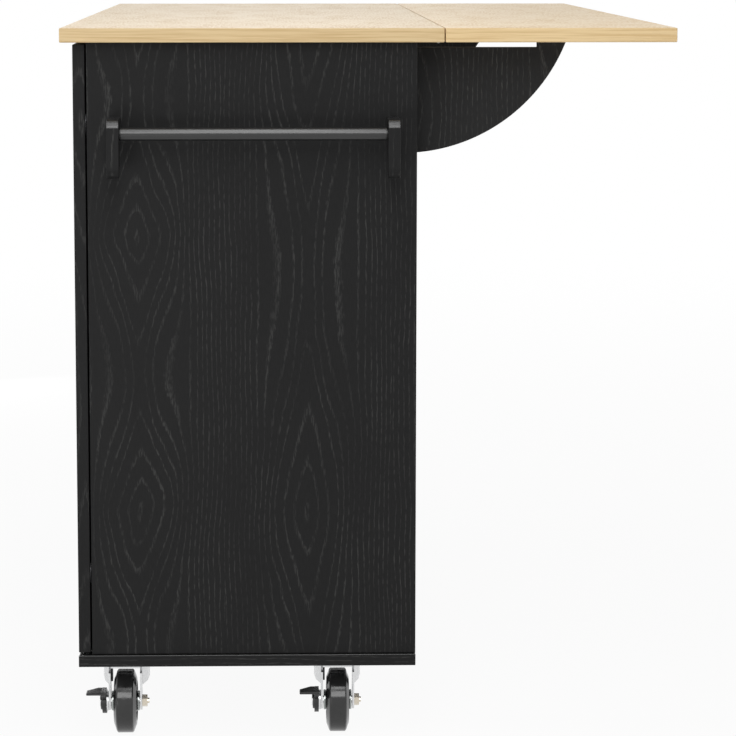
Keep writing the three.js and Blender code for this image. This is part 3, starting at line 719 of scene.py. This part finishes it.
class ISLAND_OT_wheels(bpy.types.Operator):
    """Moulded black wheels with a plated bush through each hub"""

    bl_idname = "island.wheels"
    bl_label = "Wheels"

    def execute(self, context):
        sizes = context.scene.island_casters
        rubber = moulded("Black moulded tread", sizes.rubber, 0.13, 900, 0.03)
        bush_proud, flange, rim_wall, hub_chamfer, draft, gap = 0.003, 0.005, 0.004, 0.0008, 0.0006, 0.0002
        for caster in CASTERS:
            low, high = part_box(f"{caster}_wheel")
            matrix = Matrix.Translation((low + high) / 2) @ ALONG_Y
            radius, hub_half = (high.z - low.z) / 2, (high.y - low.y) / 2
            bush_foot = hub_half - bush_proud
            sleeve = sizes.bush_radius - flange
            wall = sizes.rim_radius - rim_wall
            half = [
                (sleeve, bush_foot),
                (sizes.hub_radius - hub_chamfer, bush_foot),
                (sizes.hub_radius, bush_foot - hub_chamfer),
                (sizes.hub_radius, sizes.web_half),
                (wall - draft, sizes.web_half),
                (wall, sizes.rim_half),
                (sizes.rim_radius, sizes.rim_half),
                (radius - sizes.chamfer, sizes.shoulder_half),
                (radius, sizes.tread_half),
            ]
            body = f"{caster}_wheel"
            shape = bmesh.new()
            turned(shape, mirrored(half), matrix, steps=96)
            ease_edges(shape, 0.0004, above=25)
            seated(shape, f"{caster}_tyre", body, [rubber], [body], smooth_below=20)
            bore, outer, inner_end = sizes.bore_radius, sizes.bush_radius, bush_foot + gap
            half = [(bore, hub_half), (outer, hub_half), (outer, inner_end), (sleeve - gap, inner_end)]
            shape = bmesh.new()
            turned(shape, mirrored(half), matrix, steps=48)
            ease_edges(shape, 0.0006, 3)
            seated(shape, f"{caster}_bush", body, [plated("Dull zinc plate", sizes.bush)])
        return {"FINISHED"}


class ISLAND_OT_forks(bpy.types.Operator):
    """Pressed zinc forks with yellow plated nuts, mounting plates and the brakes' inner arms"""

    bl_idname = "island.forks"
    bl_label = "Forks and plates"

    def execute(self, context):
        zinc = bright_zinc()
        yellow = plated("Yellow zinc plate", context.scene.island_casters.nut)
        renewed([f"{caster}_plate" for caster in CASTERS], [zinc], 0.0003)
        leg_face, nut_radius = 0.0217, 0.0085
        for caster in CASTERS:
            node = f"{caster}_fork"
            axle = axle_of(caster)
            shape = copy_of(node)
            for face in shape.faces:
                near = face.calc_center_median() - axle
                if near.y > leg_face and math.hypot(near.x, near.z) < nut_radius:
                    face.material_index = 1
            ease_edges(shape, 0.0004)
            seated(shape, f"{node}_eased", f"{caster}_swivel", [zinc, yellow], [node])
            add_brake_arm(caster, axle)
        return {"FINISHED"}


def add_brake_arm(caster, axle):
    """Black arm of the brake between the wheel and the leg, hung from the crown."""
    side, thickness = 0.0189, 0.0023
    front, rear, foot, top = -0.008, 0.004, 0.0255, 0.0443
    bend = (rear - front) / 2
    outline = arc((front + rear) / 2, foot + bend, bend, 180, 360) + [(rear, top), (front, top)]
    shape = bmesh.new()
    extruded(shape, outline, side - thickness, side, Matrix.Translation(axle) @ ALONG_Y)
    ease_edges(shape, 0.0004)
    seated(shape, f"{caster}_brake_arm", f"{caster}_swivel", [nylon()])


class ISLAND_OT_pedals(bpy.types.Operator):
    """Moulded brake pedals on their steel levers, with a rim round each bolt head"""

    bl_idname = "island.pedals"
    bl_label = "Brake pedals"

    def execute(self, context):
        lever_face, foot, top = -0.0244, 0.0298, 0.0322
        inner, outer_top, outer_foot = 0.0092, 0.0112, 0.0118
        rim = [(inner, foot), (inner, top), (outer_top, top), (outer_foot, foot)]
        for caster in CASTERS:
            axle = axle_of(caster)
            node = f"{caster}_pedal"
            shape = copy_of(node)
            for face in shape.faces:
                face.material_index = int(face.calc_center_median().y > axle.y + lever_face)
            turned(shape, rim, Matrix.Translation(axle) @ ALONG_Y, steps=40)
            ease_edges(shape, 0.0004)
            seated(shape, f"{node}_eased", node, [nylon(), bright_zinc()], [node])
        return {"FINISHED"}


class ISLAND_OT_hinges(bpy.types.Operator):
    """Bright hinges for the leaf and the wings, black ones for the doors"""

    bl_idname = "island.hinges"
    bl_label = "Hinges"

    def execute(self, context):
        butts = [node for node in frame["nodes"] if "_hinge_" in node]
        cups = [node for node in frame["nodes"] if "_cup_" in node or "_arm_" in node]
        dark = plated("Black zinc plate", (0.045, 0.045, 0.047))
        for nodes, finish in ((butts, bright_zinc()), (cups, dark)):
            renewed(nodes, [finish], 0.0002)
        return {"FINISHED"}


class ISLAND_OT_stage(bpy.types.Operator):
    """Pale floor, plain soft light and the camera"""

    bl_idname = "island.stage"
    bl_label = "Stage"

    def execute(self, context):
        settings = context.scene.island_stage
        add_floor()
        add_surround(settings.surround)
        for side, above in ((1, 5.0), (-1, 1.0)):
            end = side * 0.65
            add_lamp("Overhead", (side * 1.48, -0.15, 2.17), (side * 0.68, -0.15, 0.78), 0.45, 1.3, above)
            add_lamp("High front", (side * 4.75, -0.25, 2.95), (end, -0.15, 0.3), 1.5, 1.8, above)
            add_lamp("Low front", (side * 2.3, -0.95, 0.3), (end, -0.15, 0.65), 0.6, 0.5, 5.0)
            add_lamp("Side fill", (0, side * 3.4, 1.9), (0, 0, 0.45), 2.2, 1.6, 1.0)
        add_camera(settings)
        context.scene.view_settings.view_transform = "Standard"
        return {"FINISHED"}


def seen_directly(tree):
    """1 where the eye, a gloss or a clear material looks, 0 where light falls."""
    path = tree.nodes.new("ShaderNodeLightPath").outputs
    seen = maths(tree, "MAXIMUM", path["Is Camera Ray"], path["Is Glossy Ray"])
    return maths(tree, "MAXIMUM", seen, path["Is Transmission Ray"])


def add_floor():
    """Matt floor that shows white away from the object and keeps its shadow near it."""
    shape = bmesh.new()
    bmesh.ops.create_circle(shape, cap_ends=True, radius=60, segments=96)
    mesh = bpy.data.meshes.new("floor")
    shape.to_mesh(mesh)
    shape.free()
    floor = bpy.data.objects.new("floor", mesh)
    bpy.context.scene.collection.objects.link(floor)
    material, tree, shader, coordinates = new_material("Pale floor")
    tree.nodes.remove(shader)
    lit = tree.nodes.new("ShaderNodeBsdfDiffuse")
    lit.inputs["Color"].default_value = (0.9, 0.9, 0.9, 1)
    white = tree.nodes.new("ShaderNodeEmission")
    distance = tree.nodes.new("ShaderNodeVectorMath")
    distance.operation = "LENGTH"
    feed(tree, distance.inputs[0], coordinates["Object"])
    near, far, white_near = 0.5, 5.0, 0.94
    share = ranged(tree, distance.outputs["Value"], near, far, white_near, 1.0)
    mix = tree.nodes.new("ShaderNodeMixShader")
    feed(tree, mix.inputs[0], maths(tree, "MULTIPLY", seen_directly(tree), share))
    feed(tree, mix.inputs[1], lit.outputs[0])
    feed(tree, mix.inputs[2], white.outputs[0])
    feed(tree, tree.nodes["Material Output"].inputs["Surface"], mix.outputs[0])
    mesh.materials.append(material)


def add_surround(strength):
    """White backdrop that lights matt surfaces at a lower strength."""
    world = bpy.data.worlds.new("Pale surround")
    bpy.context.scene.world = world
    world.use_nodes = True
    tree = world.node_tree
    background = tree.nodes["Background"]
    background.inputs["Color"].default_value = (1, 1, 1, 1)
    feed(tree, background.inputs["Strength"], ranged(tree, seen_directly(tree), 0.0, 1.0, strength, 1.0))


def add_lamp(name, place, target, width, height, brightness):
    """A soft box that faces a target; its brightness is that of its lit face, where 1 is white."""
    lamp = bpy.data.lights.new(name, "AREA")
    lamp.shape = "RECTANGLE"
    lamp.size = width
    lamp.size_y = height
    lamp.energy = brightness * math.pi * width * height
    holder = bpy.data.objects.new(name, lamp)
    bpy.context.scene.collection.objects.link(holder)
    facing = (Vector(target) - Vector(place)).to_track_quat("-Z", "Y")
    holder.matrix_world = Matrix.Translation(place) @ facing.to_matrix().to_4x4()
    holder.visible_camera = False


def add_camera(settings):
    """Camera at the photograph's viewing angle, looking at the end with the towel rack."""
    lens = bpy.data.cameras.new("Camera")
    lens.lens = settings.lens
    lens.sensor_width = 36
    lens.shift_x, lens.shift_y = settings.camera_shift
    lens.clip_end = 200
    camera = bpy.data.objects.new("Camera", lens)
    bpy.context.scene.collection.objects.link(camera)
    turn, tilt = settings.camera_turn, settings.camera_tilt
    ahead = Vector((-math.cos(turn) * math.cos(tilt), math.sin(turn) * math.cos(tilt), -math.sin(tilt)))
    facing = ahead.to_track_quat("-Z", "Y").to_matrix().to_4x4()
    camera.matrix_world = Matrix.Translation(settings.camera_place) @ facing
    bpy.context.scene.camera = camera


# ---- Panel ----

STEPS = (
    ISLAND_OT_stage,
    ISLAND_OT_tops,
    ISLAND_OT_cabinet,
    ISLAND_OT_towel_rack,
    ISLAND_OT_wheels,
    ISLAND_OT_forks,
    ISLAND_OT_pedals,
    ISLAND_OT_hinges,
)


class ISLAND_PT_panel(bpy.types.Panel):
    bl_label = "Kitchen island"
    bl_space_type = "VIEW_3D"
    bl_region_type = "UI"
    bl_category = "Island"

    def draw(self, context):
        for step in STEPS:
            self.layout.operator(step.bl_idname)


SETTINGS = {
    "island_pale_oak": PaleOakSettings,
    "island_black_oak": BlackOakSettings,
    "island_casters": CasterSettings,
    "island_stage": StageSettings,
}


def register():
    for made in (*SETTINGS.values(), *STEPS, ISLAND_PT_panel):
        bpy.utils.register_class(made)
    for name, group in SETTINGS.items():
        setattr(bpy.types.Scene, name, bpy.props.PointerProperty(type=group))


def unregister():
    for name in SETTINGS:
        delattr(bpy.types.Scene, name)
    for made in reversed((*SETTINGS.values(), *STEPS, ISLAND_PT_panel)):
        bpy.utils.unregister_class(made)


def main():
    register()
    for step in STEPS:
        group, name = step.bl_idname.split(".")
        getattr(getattr(bpy.ops, group), name)()


if __name__ == "__main__":
    main()
